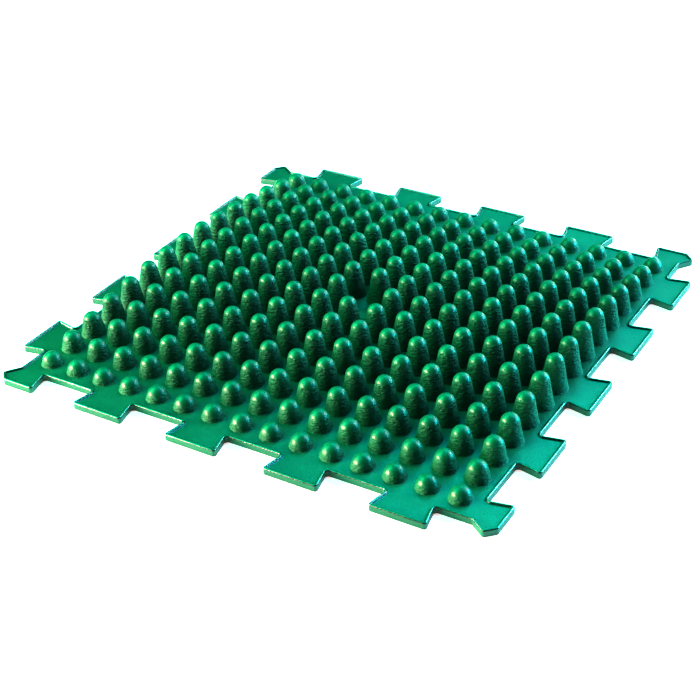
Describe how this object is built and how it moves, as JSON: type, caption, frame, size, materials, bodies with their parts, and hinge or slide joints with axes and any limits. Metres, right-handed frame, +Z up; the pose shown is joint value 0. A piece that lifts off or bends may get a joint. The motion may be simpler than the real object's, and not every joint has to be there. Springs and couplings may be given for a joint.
{
  "type": "interlocking studded mat tile",
  "caption": "Square soft mat tile with a raised edge bead, flared interlocking tabs on all four sides, and rows of round-tipped studs that rise towards the middle row.",
  "frame": {"origin": "centre of the tile's underside, on the floor", "axes": "+Z up through the studs, +X to the right and -Y to the front; the stud rows run along X, lowest at the front and back"},
  "size_m": [0.25, 0.25, 0.0202],
  "materials": {
    "sheet": "satin",
    "bead": "gloss",
    "studs": "satin"
  },
  "bodies": {
    "root": {"base_sheet": "sheet", "edge_bead": "bead", "centre_pad": "sheet", "front_left_corner": "sheet", "front_right_corner": "sheet", "back_right_corner": "sheet", "back_left_corner": "sheet", "front_tab_1": "sheet", "front_tab_2": "sheet", "front_tab_3": "sheet", "front_tab_4": "sheet", "right_tab_1": "sheet", "right_tab_2": "sheet", "right_tab_3": "sheet", "right_tab_4": "sheet", "back_tab_1": "sheet", "back_tab_2": "sheet", "back_tab_3": "sheet", "back_tab_4": "sheet", "left_tab_1": "sheet", "left_tab_2": "sheet", "left_tab_3": "sheet", "left_tab_4": "sheet", "stud_row_01": "studs", "stud_row_02": "studs", "stud_row_03": "studs", "stud_row_04": "studs", "stud_row_05": "studs", "stud_row_06": "studs", "stud_row_07": "studs", "stud_row_08": "studs", "stud_row_09": "studs", "stud_row_10": "studs", "stud_row_11": "studs", "stud_row_12": "studs", "stud_row_13": "studs", "stud_row_14": "studs", "stud_row_15": "studs"}
  },
  "joints": []
}
